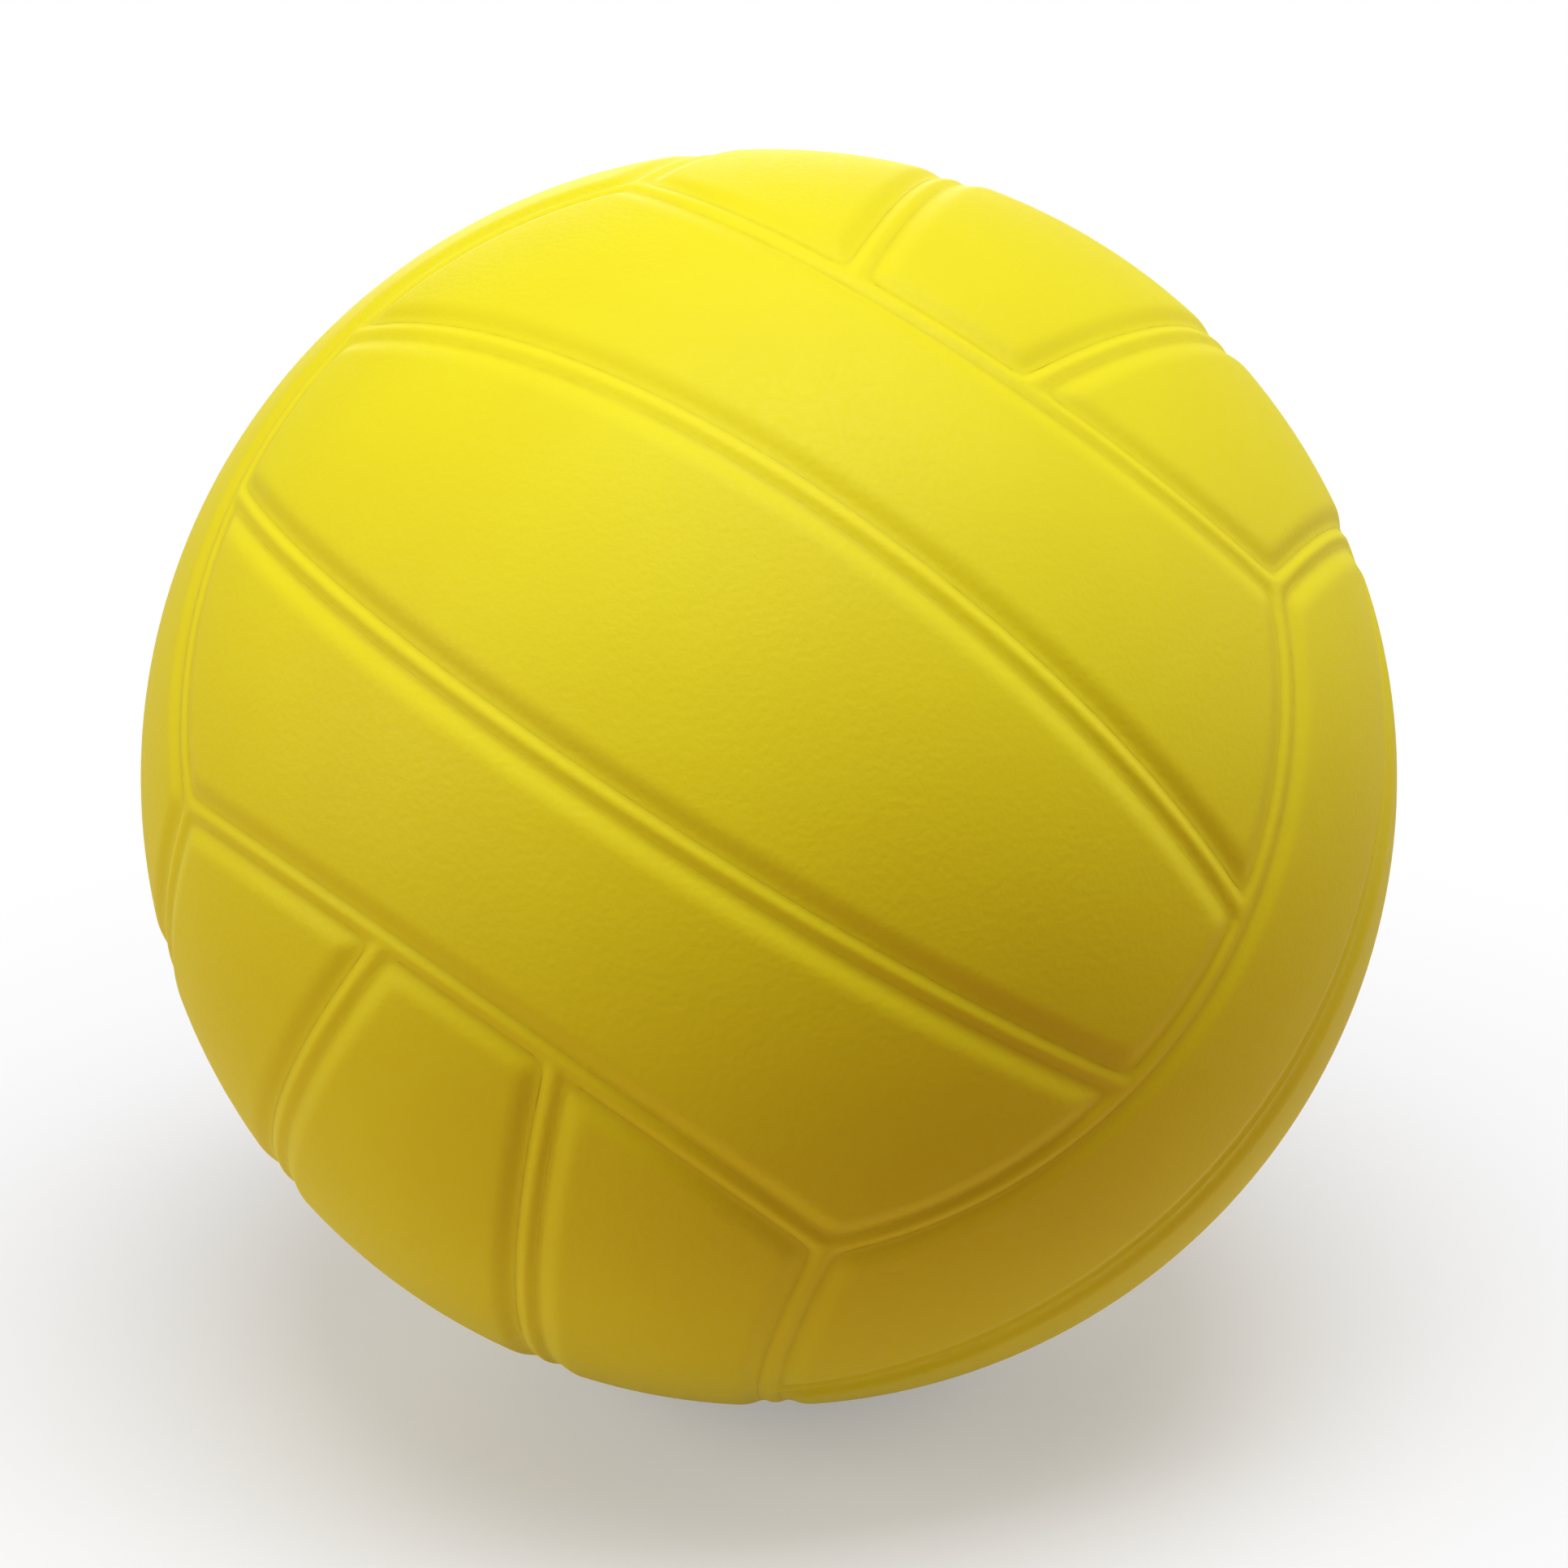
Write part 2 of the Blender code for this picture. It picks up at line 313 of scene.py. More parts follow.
@dataclass(frozen=True)
class SeamNet:
    """The seam pattern on a sphere, and the distance of any point to the seams of its strip."""

    radius: float = 105 * MM
    inner_seam: float = math.radians(14.5)
    corner_fillet: float = 0.8 * MM
    edge_plane: float = 1 / math.sqrt(3)
    corner: float = math.radians(45)

    @property
    def edge_angle(self) -> float:
        """The angle between a face's centre plane and the middle of its long edge."""
        return math.asin(self.edge_plane)

    @property
    def half_length(self) -> float:
        """Half the length of a middle strip along its centre line."""
        return self.radius * math.acos(self.edge_plane)

    @staticmethod
    def station_of(across: float) -> float:
        """The station whose row ends at an angle across from the face's centre plane."""
        return math.asin(math.tan(across) / math.sqrt(2))

    def row_at(self, strip: Strip, share: float) -> float:
        """Finds the station of a row by its share of the strip's width.

        Args:
            strip: The strip's shape.
            share: From 0 at the strip's lower seam to 1 at its upper seam.

        Returns:
            The row's station.
        """
        if strip is Strip.MIDDLE:
            return self.station_of(self.inner_seam * (2 * share - 1))
        return self.station_of(self.inner_seam + share * (self.corner - self.inner_seam))

    def seam_turns(self, strip: Strip) -> np.ndarray:
        """The turns of a strip's lower and upper seam planes about the axis along the face."""
        if strip is Strip.MIDDLE:
            return np.array([-self.inner_seam, self.inner_seam])
        return np.array([self.inner_seam, 0.0])

    def seam_angles(self, strip: Strip) -> np.ndarray:
        """The angles across, halfway along a strip, of its lower and upper seam."""
        if strip is Strip.MIDDLE:
            return np.array([-self.inner_seam, self.inner_seam])
        return np.array([self.inner_seam, self.edge_angle])

    def width(self, strip: Strip) -> float:
        """The width of a strip halfway along it."""
        return self.radius * float(np.diff(self.seam_angles(strip))[0])

    def rounding(self, across: np.ndarray, along: np.ndarray) -> np.ndarray:
        """What the rounding of corners adds to distances from a strip's nearer seam and end."""
        return self.corner_fillet * np.log1p(np.exp(-np.abs(across - along) / self.corner_fillet))

    def near_end(
        self, turns: np.ndarray, angles: np.ndarray, along: np.ndarray, sides: np.ndarray
    ) -> np.ndarray:
        """Finds points of a face by their row and their distance from the end.

        A row is a plane cut, turned about the axis along the face.

        Args:
            turns: The turn of each point's row.
            angles: The angle across at which that row crosses the middle of the face.
            along: Distances from the end.
            sides: One or minus one for the end.

        Returns:
            Unit vectors in the axes normal, along and across.
        """
        normal = np.sin(self.edge_angle + along / self.radius)
        across = (np.sin(angles - turns) + normal * np.sin(turns)) / np.cos(turns)
        return np.stack([normal, sides * np.sqrt(1 - normal**2 - across**2), across], axis=-1)

    @staticmethod
    def at_level(turns: np.ndarray, angles: np.ndarray, level: np.ndarray) -> np.ndarray:
        """Finds points of a face by their row and their coordinate along the face.

        Args:
            turns: The turn of each point's row.
            angles: The angle across at which that row crosses the middle of the face.
            level: Coordinates along the face, on the unit sphere.

        Returns:
            Unit vectors in the axes normal, along and across.
        """
        offset = np.sin(angles - turns)
        reach = np.sqrt(1 - level**2 - offset**2)
        normal = reach * np.cos(turns) - offset * np.sin(turns)
        across = offset * np.cos(turns) + reach * np.sin(turns)
        return np.stack([normal, level, across], axis=-1)

    def strip_points(
        self, strip: Strip, across: np.ndarray, along: np.ndarray, border: float
    ) -> np.ndarray:
        """Finds points of a strip whose distances from its seams are exact near its border.

        Args:
            strip: The strip's shape.
            across: Distances from the lower seam, halfway along the strip.
            along: Distances along the strip from its first end.
            border: How far from the seams the distances are exact.

        Returns:
            Unit vectors in the axes normal, along and across.
        """
        width = self.width(strip)
        length = 2 * self.half_length
        from_seam = np.minimum(across, width - across)
        from_end = np.minimum(along, length - along)
        slack = 1e-9
        rounding = self.rounding(from_seam, from_end)
        rounding[(from_seam > border + slack) | (from_end > border + slack)] = 0
        across = across + np.where(across < width / 2, rounding, -rounding)
        inner = np.clip((across - border) / (width - 2 * border), 0, 1)
        low, high = self.seam_turns(strip)
        turns = low + (high - low) * inner
        angles = self.seam_angles(strip)[0] + across / self.radius
        sides = np.where(along < self.half_length, -1.0, 1.0)
        ends = self.near_end(turns, angles, np.minimum(from_end, border) + rounding, sides)
        last = self.near_end(turns, angles, np.full_like(along, border), sides)
        share = np.abs(along - self.half_length) / (self.half_length - border)
        level = np.sin(np.arcsin(last[:, 1]) * np.minimum(share, 1))
        between = self.at_level(turns, angles, level)
        return np.where((from_end > border + slack)[:, None], between, ends)

    def directions(self, rows: np.ndarray, columns: np.ndarray) -> np.ndarray:
        """Finds points of a pattern face on the unit sphere.

        A station is an angle round the circle in which two faces meet, so the rows of one face
        end exactly on the columns of the next.

        Args:
            rows: Stations across the face, one for each point.
            columns: Stations along the face, one for each point.

        Returns:
            Unit vectors in the axes normal, along and across.
        """
        end_angle = np.arctan(math.sqrt(2) * np.sin(np.abs(rows)))
        outward = np.maximum(0, (end_angle - self.inner_seam) / (self.corner - self.inner_seam))
        edge_across = np.arctan(1 / (math.sqrt(2) * np.cos(columns)))
        beyond = self.inner_seam + outward * (edge_across - self.inner_seam)
        across = np.copysign(np.where(outward > 0, beyond, end_angle), rows)
        edge_share = np.arcsin(math.sqrt(2 / 3) * np.sin(columns)) / self.edge_angle
        share = (1 - outward) * columns / self.corner + outward * edge_share
        along = share * np.arccos(self.edge_plane / np.cos(end_angle))
        return np.stack(
            [np.cos(along) * np.cos(across), np.sin(along), np.cos(along) * np.sin(across)], axis=-1
        )

    def distances(self, points: np.ndarray) -> np.ndarray:
        """Measures how far points of a face lie from the seams round their strip.

        Near a corner the seams' distances are blended, which rounds the corner.

        Args:
            points: Unit vectors in the axes normal, along and across.

        Returns:
            Distances along the surface, in metres.
        """
        normal, across = points[:, 0], np.abs(points[:, 2])
        level = np.arcsin(np.clip(normal, -1, 1)) - self.edge_angle
        to_inner = np.arcsin(across * math.cos(self.inner_seam) - normal * math.sin(self.inner_seam))
        to_edge = self.edge_angle - np.arcsin(np.clip(across, -1, 1))
        far_inner = np.arcsin(across * math.cos(self.inner_seam) + normal * math.sin(self.inner_seam))
        other = np.where(to_inner < 0, far_inner, to_edge)
        seams = self.radius * np.stack([level, np.abs(to_inner), other])
        nearest = seams.min(axis=0)
        blend = np.exp((nearest - seams) / self.corner_fillet).sum(axis=0)
        return nearest - self.corner_fillet * np.log(blend)


def give_wall(item: Object, inside: float) -> None:
    """Gives an open sheet a wall, whose inner side lies on a sphere.

    Args:
        item: The sheet, about the origin.
        inside: The sphere's radius.
    """
    edit(item, bpy.ops.mesh.extrude_region)
    moved = selected(item)
    points = points_of(item)
    points[moved] *= inside / np.linalg.norm(points[moved], axis=1, keepdims=True)
    set_points(item, points)
    smooth(item)


def hollow(item: Object, axis: Vector, hole: float, outside: float, inside: float) -> None:
    """Opens a closed surface at the valve and gives it a wall.

    Args:
        item: The closed outer surface, about the origin.
        axis: The unit direction of the valve's axis.
        hole: The radius of the valve's passage.
        outside: The radius of the surface round the passage.
        inside: The radius of the inner wall.
    """
    open_hole(item, axis, CUT_MARGIN * hole)
    round_ring(item, axis, hole, outside)
    give_wall(item, inside)


@dataclass(frozen=True)
class Groove:
    """The cross-section of a seam: a rounded rib between two panels with rolled shoulders."""

    rib_half_width: float = 1.7 * MM
    rib_height: float = 0.38 * MM
    valley_depth: float = 0.88 * MM
    shoulder_start: float = 2.2 * MM
    shoulder_width: float = 4.4 * MM
    shoulder_drop: float = 0.88 * MM
    joint: float = 0.01 * MM

    def rib(self, distance: np.ndarray) -> np.ndarray:
        """How deep the rib lies below the ball's crown, at distances from the seam's middle."""
        share = np.clip(distance / self.rib_half_width, 0, 1)
        return self.valley_depth - self.rib_height * np.cos(math.pi / 2 * share) ** 2

    def shoulder(self, distance: np.ndarray) -> np.ndarray:
        """The depth of a panel's surface below the crown of the ball.

        The slope grows quickly from the seam and dies away slowly towards the crown.

        Args:
            distance: Distances from the middle of the seam.

        Returns:
            Depths, zero past the shoulder.
        """
        share = np.clip((distance - self.shoulder_start) / self.shoulder_width, 0, 1)
        risen = 6 * share**2 - 8 * share**3 + 3 * share**4
        return self.shoulder_drop * (1 - risen)


def graded(steps: Iterable[tuple[float, float]]) -> list[float]:
    """Lays out positions whose spacing changes in stages.

    Args:
        steps: For each stage, where it ends and the spacing that it keeps to at most.

    Returns:
        Positions from zero to the end of the last stage.
    """
    places = [0.0]
    for end, spacing in steps:
        start = places[-1]
        count = math.ceil((end - start) / spacing)
        places += [start + (end - start) * (index + 1) / count for index in range(count)]
    return places


def mark_distance(item: Object, distances: np.ndarray) -> None:
    """Stores each vertex's distance to the seam, in millimetres, for the finishes to read."""
    layer = item.data.attributes.new("seam_distance", "FLOAT", "POINT")
    layer.data.foreach_set("value", (distances / MM).astype(np.float32))


@dataclass
class Cover:
    """The eighteen laid panels: two shapes, turned to their places."""

    net: SeamNet
    groove: Groove
    finish: Material
    thickness: float = 1.5 * MM
    edge_stages: tuple[tuple[float, float], ...] = ((1 * MM, 0.3 * MM), (3 * MM, 0.4 * MM))
    shoulder_spacing: float = 0.6 * MM
    crown_spacing: float = 3 * MM
    valve_spacing: float = 0.9 * MM
    valve_patch: float = 8 * MM
    valve_hole: float = 4.5 * MM
    valve_lip: float = 0.7 * MM
    lip_cut: float = 0.3 * MM
    lip_land: float = 0.6 * MM
    lip_rings: int = 8
    rings: list[float] = field(init=False)

    def __post_init__(self) -> None:
        """Lays out the rings of vertices that follow a panel's border over its shoulder."""
        start = self.groove.rib_half_width + self.groove.joint
        end = self.groove.shoulder_start + self.groove.shoulder_width
        stages = [*self.edge_stages, (end - start, self.shoulder_spacing)]
        self.rings = [start + place for place in graded(stages)]

    def places(self, strip: Strip, length: float) -> np.ndarray:
        """Places of rows or columns from border to border, fine at the border.

        A middle strip is fine in its middle too, where the valve may go.

        Args:
            strip: The strip's shape.
            length: The strip's width or length.

        Returns:
            Distances from the first border's seam.
        """
        end = self.rings[-1]
        patch = self.valve_patch if strip is Strip.MIDDLE else 0.0
        middle = length / 2 - end
        inner = graded([(middle - patch, self.crown_spacing), (middle, self.valve_spacing)])
        half = self.rings + [end + place for place in inner[1:]]
        return np.array(half + [length - place for place in reversed(half[:-1])])

    def sheet(self, strip: Strip) -> Object:
        """Models the outer surface of one panel in its face's own axes.

        Args:
            strip: The panel's shape.

        Returns:
            An open sheet with rings of vertices along its rolled border.
        """
        across = self.places(strip, self.net.width(strip))
        along = self.places(strip, 2 * self.net.half_length)
        item = new_object(
            bpy.ops.mesh.primitive_grid_add,
            x_subdivisions=len(along) - 1,
            y_subdivisions=len(across) - 1,
            size=2,
        )
        flat = (points_of(item)[:, :2] + 1) / 2
        column = np.rint(flat[:, 0] * (len(along) - 1)).astype(int)
        row = np.rint(flat[:, 1] * (len(across) - 1)).astype(int)
        points = self.net.strip_points(strip, across[row], along[column], self.rings[-1])
        distance = self.net.distances(points)
        depth = self.groove.shoulder(distance)
        set_points(item, points * (self.net.radius - depth)[:, None])
        mark_distance(item, distance)
        return item

    def open_valve_hole(self, item: Object) -> None:
        """Opens a round hole with a rolled lip in the middle of a middle panel.

        Args:
            item: The panel's sheet.
        """
        start = self.valve_hole + self.valve_lip
        axis = Vector((1, 0, 0))
        open_hole(item, axis, start + self.lip_cut)
        lip = [(start + self.lip_land, 0.0)]
        for angle in np.linspace(0, math.pi / 2, self.lip_rings):
            lip.append((start - self.valve_lip * math.sin(angle), self.valve_lip * (1 - math.cos(angle))))
        for index, (radius, depth) in enumerate(lip):
            if index:
                bpy.ops.mesh.extrude_region()
            round_ring(item, axis, radius, self.net.radius - depth)
        bpy.ops.object.mode_set(mode="OBJECT")

    def build(self) -> None:
        """Models the panels and hands them over."""
        middle = self.sheet(Strip.MIDDLE)
        with_valve = copy_of(middle)
        self.open_valve_hole(with_valve)
        outer = self.sheet(Strip.OUTER)
        shapes = (middle, with_valve, outer)
        for shape in shapes:
            give_wall(shape, self.net.radius - self.thickness)
        for face in Face:
            near, far = face.outer_names
            strips = {
                Strip.MIDDLE.value: (with_valve if face is VALVE_FACE else middle, face.turn),
                near: (outer, face.turn),
                far: (outer, face.turn @ HALF_TURN),
            }
            for strip, (shape, turn) in strips.items():
                panel = copy_of(shape)
                settle(panel, LIE @ turn)
                place = f"{face.label}_{strip}"
                hand_over(panel, f"cover_{place}", f"panel_{place}", self.finish)
        for shape in shapes:
            bpy.data.objects.remove(shape, do_unlink=True)


@dataclass(frozen=True)
class SeamSide:
    """For each of many rows: the side of the seam that the row is nearest to."""

    ring: np.ndarray
    turn: np.ndarray
    angle: np.ndarray
    inward: np.ndarray
    mirror: np.ndarray
    on_edge: np.ndarray


@dataclass
class Carcass:
    """The rubber shell under the cover, with the seam ribs moulded on it."""

    net: SeamNet
    groove: Groove
    finish: Material
    pocket_depth: float = 1.9 * MM
    wall: float = 0.8 * MM
    valve_clearance: float = 5.2 * MM
    coarse_rows: int = 12
    rib_spacing: float = 0.3 * MM
    foot_share: float = 0.3
    rings: np.ndarray = field(init=False)
    stations: np.ndarray = field(init=False)
    steps: int = field(init=False)

    def __post_init__(self) -> None:
        """Lays out the rings of vertices down a rib to the pocket floor, and a face's stations."""
        joint = self.groove.rib_half_width - self.groove.joint
        foot = joint + self.foot_share * self.groove.joint
        self.rings = np.array([*graded([(joint, self.rib_spacing)]), foot])
        self.stations = self.all_stations()
        self.steps = len(self.stations) - 1

    def all_stations(self) -> np.ndarray:
        """Finds the stations from corner to corner of a face, for its rows and its columns.

        Returns:
            The stations, in order.
        """
        half = {}
        for strip in Strip:
            width = self.net.width(strip)
            places = [place / width for place in self.rings]
            first, last = (self.net.row_at(strip, share) for share in (places[-1], 1 - places[-1]))
            inner = list(np.linspace(first, last, self.coarse_rows + 2)[1:-1])
            lower = [self.net.row_at(strip, share) for share in places]
            upper = [self.net.row_at(strip, 1 - share) for share in reversed(places)]
            half[strip] = lower + inner + upper
        below = [-station for station in reversed(half[Strip.OUTER])]
        return np.array(below + half[Strip.MIDDLE][1:-1] + half[Strip.OUTER])

    def nearest_seam(self, row: np.ndarray) -> SeamSide:
        """Finds the seam along the face that each row is nearest to.

        Args:
            row: Row numbers, counted across the face.

        Returns:
            The side of the seam that each row lies on.
        """
        strip_steps = self.steps // 3
        lower = row < strip_steps
        upward = np.where(lower, self.steps - row, row)
        outer = upward > 2 * strip_steps
        place = upward - np.where(outer, 2, 1) * strip_steps
        far = place > strip_steps / 2
        kind = 2 * outer + far
        turns = np.concatenate([self.net.seam_turns(strip) for strip in Strip])
        angles = np.concatenate([self.net.seam_angles(strip) for strip in Strip])
        return SeamSide(
            ring=np.where(far, strip_steps - place, place),
            turn=turns[kind],
            angle=angles[kind],
            inward=np.where(far, -1.0, 1.0),
            mirror=np.where(lower, -1.0, 1.0),
            on_edge=outer & far,
        )

    def corner_points(self, row: np.ndarray, column: np.ndarray) -> np.ndarray:
        """Finds vertices that are near a seam along the face and near its end.

        Args:
            row: The row number of each vertex, counted across the face.
            column: The column number of each vertex, counted along the face.

        Returns:
            Unit vectors in the axes normal, along and across.
        """
        side = self.nearest_seam(row)
        end_ring = np.minimum(column, self.steps - column)
        across = self.rings[side.ring]
        along = self.rings[end_ring]
        rounding = self.net.rounding(across, along)
        across = across + np.where(side.ring > 0, rounding, 0)
        along = along + np.where(end_ring > 0, rounding, 0)
        angles = side.angle + side.inward * across / self.net.radius
        ends = np.where(column < self.steps / 2, -1.0, 1.0)
        points = self.net.near_end(side.turn, angles, along, ends)
        points[:, 2] *= side.mirror
        return points

    def seam_points(self, row: np.ndarray, column: np.ndarray) -> np.ndarray:
        """Finds vertices that are near a seam along the face and far from its ends.

        Args:
            row: The row number of each vertex, counted across the face.
            column: The column number of each vertex, counted along the face.

        Returns:
            Unit vectors in the axes normal, along and across.
        """
        stations = self.stations[column]
        side = self.nearest_seam(row)
        inner = np.full(len(row), self.net.station_of(self.net.inner_seam))
        level = self.net.directions(inner, stations)[:, 1]
        # The long edge is the next face's end, so its vertices are where that face's rows end
        edge_level = self.net.directions(stations, np.full(len(row), self.net.corner))[:, 2]
        rounded = self.nearest_seam(column).ring < len(self.rings)
        edge_level[rounded] = self.corner_points(column[rounded], np.zeros_like(column[rounded]))[:, 2]
        level = np.where(side.on_edge, edge_level, level)
        angles = side.angle + side.inward * self.rings[side.ring] / self.net.radius
        points = self.net.at_level(side.turn, angles, level)
        points[:, 2] *= side.mirror
        return points

    def end_points(self, row: np.ndarray, column: np.ndarray) -> np.ndarray:
        """Finds vertices that are near an end of the face and far from its other seams.

        Args:
            row: The row number of each vertex, counted across the face.
            column: The column number of each vertex, counted along the face.

        Returns:
            Unit vectors in the axes normal, along and across.
        """
        corner = np.where(column < self.steps / 2, -self.net.corner, self.net.corner)
        points = self.net.directions(self.stations[row], corner)
        along = self.rings[np.minimum(column, self.steps - column)]
        normal = np.sin(self.net.edge_angle + along / self.net.radius)
        points[:, 1:] *= np.sqrt((1 - normal**2) / (1 - self.net.edge_plane**2))[:, None]
        points[:, 0] = normal
        return points

    def face_points(self, row: np.ndarray, column: np.ndarray) -> tuple[np.ndarray, np.ndarray]:
        """Finds the vertices of one face, with rings along its seams.

        Args:
            row: The row number of each vertex, counted across the face.
            column: The column number of each vertex, counted along the face.

        Returns:
            Unit vectors in the axes normal, along and across, and distances from the seams.
        """
        count = len(self.rings)
        seam_ring = self.nearest_seam(row).ring
        end_ring = np.minimum(column, self.steps - column)
        by_seam = seam_ring < count
        by_end = end_ring < count
        points = self.net.directions(self.stations[row], self.stations[column])
        for here, finder in (
            (by_seam & by_end, self.corner_points),
            (by_seam & ~by_end, self.seam_points),
            (by_end & ~by_seam, self.end_points),
        ):
            points[here] = finder(row[here], column[here])
        ring = np.minimum(seam_ring, end_ring)
        distance = np.full(len(row), self.groove.rib_half_width)
        on_rib = ring < count - 1
        distance[on_rib] = self.net.distances(points[on_rib])
        distance[ring == 0] = 0
        return points, distance

    def model(self) -> Object:
        """Models the carcass from a finely divided cube.

        Returns:
            The closed outer surface, in the axes of the pattern.
        """
        item = new_object(bpy.ops.mesh.primitive_cube_add, size=2)
        edit(item, lambda: bpy.ops.mesh.subdivide(number_cuts=self.steps - 1))
        cube = points_of(item)
        points = np.zeros_like(cube)
        distance = np.zeros(len(cube))
        for face in Face:
            local = cube @ np.array(face.turn)
            here = np.isclose(local[:, 0], 1)
            column, row = np.rint((local[here, 1:] + 1) / 2 * self.steps).astype(int).T
            found, distance[here] = self.face_points(row, column)
            points[here] = found @ np.array(face.turn).T
        on_rib = distance < self.groove.rib_half_width
        depth = np.where(on_rib, self.groove.rib(distance), self.pocket_depth)
        set_points(item, points * (self.net.radius - depth)[:, None])
        mark_distance(item, distance)
        return item

    def build(self) -> None:
        """Models the carcass and hands it over."""
        item = self.model()
        floor = self.net.radius - self.pocket_depth
        hollow(item, VALVE_FACE.turn.col[0], self.valve_clearance, floor, floor - self.wall)
        settle(item, LIE)
        hand_over(item, "carcass_with_ribs", "carcass", self.finish)


@dataclass
class Winding:
    """The nylon thread wound over the bladder, on the film of glue that holds it.

    The real thread is finer and has many more turns, so one unbroken thread is drawn thicker here.
    """

    finish: Material
    film_outside: float = 101.55 * MM
    film_inside: float = 101.42 * MM
    film_segments: int = 96
    film_rows: int = 64
    hole: float = 4.5 * MM
    thread: float = 0.4 * MM
    thread_sharp_degrees: float = 70
    lay: float = 101.68 * MM
    turns: int = 100
    turn_points: int = 90
    drifts: int = 7
    swings: int = 5
    steepest: float = math.radians(86)
    flattest: float = math.radians(34)

    def route(self) -> np.ndarray:
        """Lays out the thread's points, with Z along the valve's axis.

        Each turn is nearly a great circle. Its plane drifts round the valve's axis, and its slope
        swings between steep turns, which pass close by the valve, and flatter ones.

        Returns:
            Coordinates, one row for each point.
        """
        share = np.linspace(0, 1, self.turns * self.turn_points + 1)
        angle = 2 * math.pi * self.turns * share
        drift = 2 * math.pi * self.drifts * share
        middle = (self.steepest + self.flattest) / 2
        slope = middle + (self.steepest - middle) * np.cos(2 * math.pi * self.swings * share)
        forward = np.cos(angle)
        sideways = np.sin(angle) * np.cos(slope)
        height = np.sin(angle) * np.sin(slope)
        x = forward * np.cos(drift) - sideways * np.sin(drift)
        y = forward * np.sin(drift) + sideways * np.cos(drift)
        return self.lay * np.stack([x, y, height], axis=1)

    def wind(self) -> Object:
        """Models the thread as one tube along its route.

        Returns:
            The thread, as a mesh.
        """
        curve = new_object(bpy.ops.curve.primitive_nurbs_path_add).data
        curve.splines.clear()
        strand = curve.splines.new("POLY")
        route = self.route()
        strand.points.add(len(route) - 1)
        strand.points.foreach_set("co", np.column_stack([route, np.ones(len(route))]).ravel())
        curve.bevel_depth = self.thread / 2
        curve.bevel_resolution = 1
        curve.use_fill_caps = True
        bpy.ops.object.convert(target="MESH")
        item = bpy.context.object
        edit(item, lambda: bpy.ops.mesh.remove_doubles(threshold=MERGE_DISTANCE))
        smooth(item, self.thread_sharp_degrees)
        return item

    def film(self) -> Object:
        """Models the film of glue.

        Returns:
            A thin shell, open at the valve.
        """
        item = new_object(
            bpy.ops.mesh.primitive_uv_sphere_add,
            segments=self.film_segments,
            ring_count=self.film_rows,
            radius=self.film_outside,
        )
        hollow(item, TO_TOP, self.hole, self.film_outside, self.film_inside)
        return item

    def build(self) -> None:
        """Models the winding and hands it over."""
        thread = self.wind()
        film = self.film()
        thread.select_set(True)
        bpy.ops.object.join()
        settle(film, TO_VALVE)
        hand_over(film, "wound_thread", "thread_winding", self.finish)


@dataclass
class Bladder:
    """The butyl air bag, with a pad round the valve and a bead where the mould's halves met."""

    finish: Material
    outside: float = 101 * MM
    wall: float = 0.8 * MM
    hole: float = 4.5 * MM
    segments: int = 96
    pad: float = 20 * MM
    pad_edge: float = 2 * MM
    pad_height: float = 0.2 * MM
    bead_half_width: float = 1.6 * MM
    bead_height: float = 0.25 * MM
    row_spacing: float = 5 * MM
    pad_row_spacing: float = 2 * MM
    fine_row_spacing: float = 0.4 * MM

    def rows(self) -> np.ndarray:
        """Distances of the rows of vertices from the valve's axis to the far side of the bag."""
        half = math.pi / 2 * self.outside
        stages = [
            (self.pad, self.pad_row_spacing),
            (self.pad + self.pad_edge, self.fine_row_spacing),
            (half - self.bead_half_width, self.row_spacing),
            (half + self.bead_half_width, self.fine_row_spacing),
            (2 * half, self.row_spacing),
        ]
        return np.array(graded(stages))

    def relief(self, distance: np.ndarray) -> np.ndarray:
        """The height of the pad and the bead over the plain ball.

        Args:
            distance: Distances from the valve's axis, along the surface.

        Returns:
            Heights.
        """
        fallen = np.clip((distance - self.pad) / self.pad_edge, 0, 1)
        pad = self.pad_height * np.cos(math.pi / 2 * fallen) ** 2
        aside = np.clip(np.abs(distance - math.pi / 2 * self.outside) / self.bead_half_width, 0, 1)
        return pad + self.bead_height * np.cos(math.pi / 2 * aside) ** 2

    def build(self) -> None:
        """Models the bladder and hands it over."""
        rows = self.rows()
        steps = len(rows) - 1
        item = new_object(
            bpy.ops.mesh.primitive_uv_sphere_add, segments=self.segments, ring_count=steps, radius=1
        )
        points = points_of(item)
        polar = np.arccos(np.clip(points[:, 2], -1, 1))
        distance = rows[np.rint(polar / math.pi * steps).astype(int)]
        aside = np.hypot(points[:, 0], points[:, 1])
        angle = distance / self.outside
        points[:, :2] *= (np.sin(angle) / np.maximum(aside, np.finfo(float).eps))[:, None]
        points[:, 2] = np.cos(angle)
        set_points(item, points * (self.outside + self.relief(distance))[:, None])
        hollow(item, TO_TOP, self.hole, self.outside + self.pad_height, self.outside - self.wall)
        settle(item, TO_VALVE)
        hand_over(item, "butyl_bladder", "bladder", self.finish)


